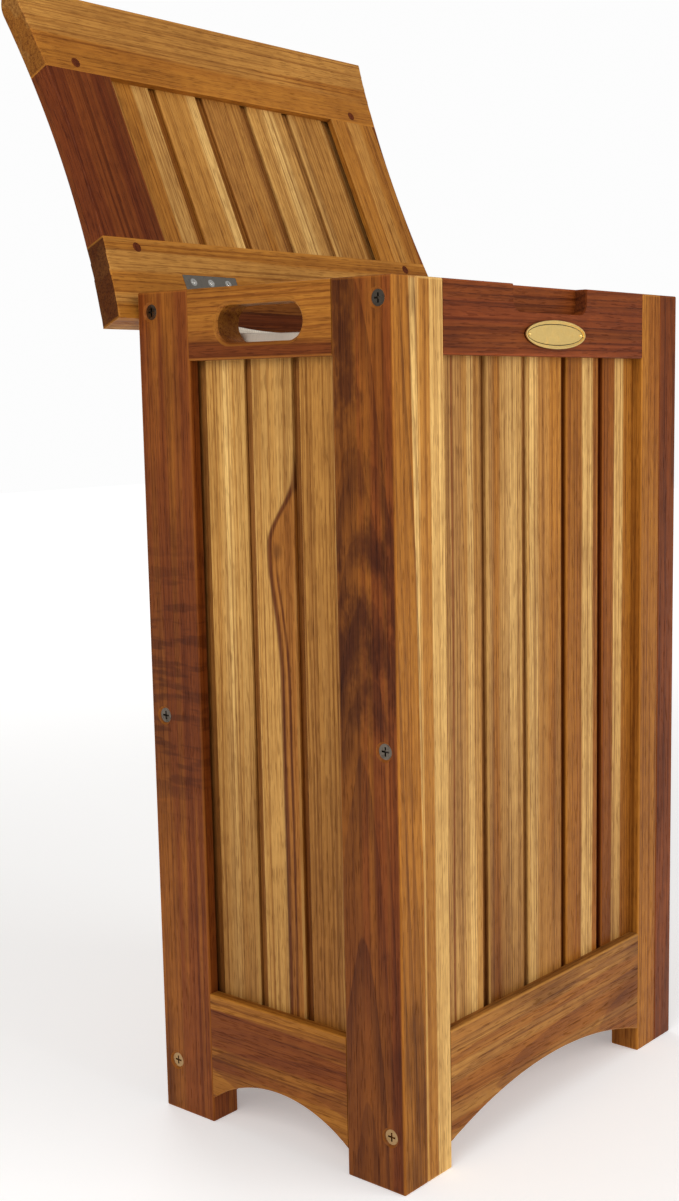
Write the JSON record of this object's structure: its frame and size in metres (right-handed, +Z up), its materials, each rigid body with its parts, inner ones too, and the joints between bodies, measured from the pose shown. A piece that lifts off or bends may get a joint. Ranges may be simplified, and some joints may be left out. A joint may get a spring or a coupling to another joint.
{
  "type": "laundry hamper",
  "caption": "Tall wooden laundry hamper with frame-and-slat panels, hand slots, an arched base, a hinged waisted lid standing open, and a hanging cloth liner.",
  "frame": {"origin": "on the floor, at the middle of the rectangle that the hamper covers with its lid open; the middle of the body is 58.8 mm in front of it (towards -Y)", "axes": "+Z up from the floor, +Y towards the back, where the lid is hinged, +X to the right along the front, seen from in front; at rest the lid is open"},
  "size_m": [0.388, 0.3569, 0.8347],
  "materials": {
    "teak_post": "oiled satin teak, brown heartwood with cathedral figure",
    "teak_rail": "oiled satin teak, red-brown",
    "teak_slat": "oiled satin teak, golden with pale sapwood stripes",
    "teak_lid_frame": "oiled satin teak, golden brown",
    "teak_lid_slat": "oiled satin teak, light tan to yellow",
    "teak_floor": "oiled satin teak",
    "teak_dowel": "dark teak end grain",
    "hinge_steel": "satin steel",
    "screw_steel": "satin steel, cross head",
    "plate_brass": "satin brass with raised rim",
    "peg_brass": "satin brass",
    "liner_canvas": "undyed cotton canvas"
  },
  "bodies": {
    "hamper_body": {"floor_board_1": "teak_floor", "floor_board_2": "teak_floor", "floor_board_3": "teak_floor", "floor_cleats": "teak_floor", "front_bottom_rail": "teak_rail", "front_left_stile": "teak_post", "front_right_stile": "teak_post", "front_slat_1": "teak_slat", "front_slat_2": "teak_slat", "front_slat_3": "teak_slat", "front_slat_4": "teak_slat", "front_slat_5": "teak_slat", "front_top_rail": "teak_rail", "hinge_body_screws": "screw_steel", "left_bottom_rail": "teak_rail", "left_corner_screws": "screw_steel", "left_front_stile": "teak_post", "left_hinge_body_leaf": "hinge_steel", "left_hinge_pin": "hinge_steel", "left_rear_stile": "teak_post", "left_slat_1": "teak_slat", "left_slat_2": "teak_slat", "left_slat_3": "teak_slat", "left_top_rail": "teak_rail", "liner_bag": "liner_canvas", "liner_pegs": "peg_brass", "oval_plate": "plate_brass", "rear_bottom_rail": "teak_rail", "rear_left_stile": "teak_post", "rear_right_stile": "teak_post", "rear_slat_1": "teak_slat", "rear_slat_2": "teak_slat", "rear_slat_3": "teak_slat", "rear_slat_4": "teak_slat", "rear_slat_5": "teak_slat", "rear_top_rail": "teak_rail", "right_bottom_rail": "teak_rail", "right_corner_screws": "screw_steel", "right_front_stile": "teak_post", "right_hinge_body_leaf": "hinge_steel", "right_hinge_pin": "hinge_steel", "right_rear_stile": "teak_post", "right_slat_1": "teak_slat", "right_slat_2": "teak_slat", "right_slat_3": "teak_slat", "right_top_rail": "teak_rail"},
    "lid": {"hinge_lid_screws": "screw_steel", "left_hinge_lid_leaf": "hinge_steel", "lid_dowels": "teak_dowel", "lid_front_rail": "teak_lid_frame", "lid_left_stile": "teak_lid_frame", "lid_rear_rail": "teak_lid_frame", "lid_right_stile": "teak_lid_frame", "lid_slat_1": "teak_lid_slat", "lid_slat_2": "teak_lid_slat", "lid_slat_3": "teak_lid_slat", "lid_slat_4": "teak_lid_slat", "lid_slat_5": "teak_lid_slat", "right_hinge_lid_leaf": "hinge_steel"}
  },
  "joints": [
    {"name": "lid_hinge", "type": "hinge", "parent": "hamper_body", "child": "lid", "pos_m": [0, 0.06675, 0.6101], "axis": [1, 0, 0], "range_deg": [0, 113.5]}
  ]
}
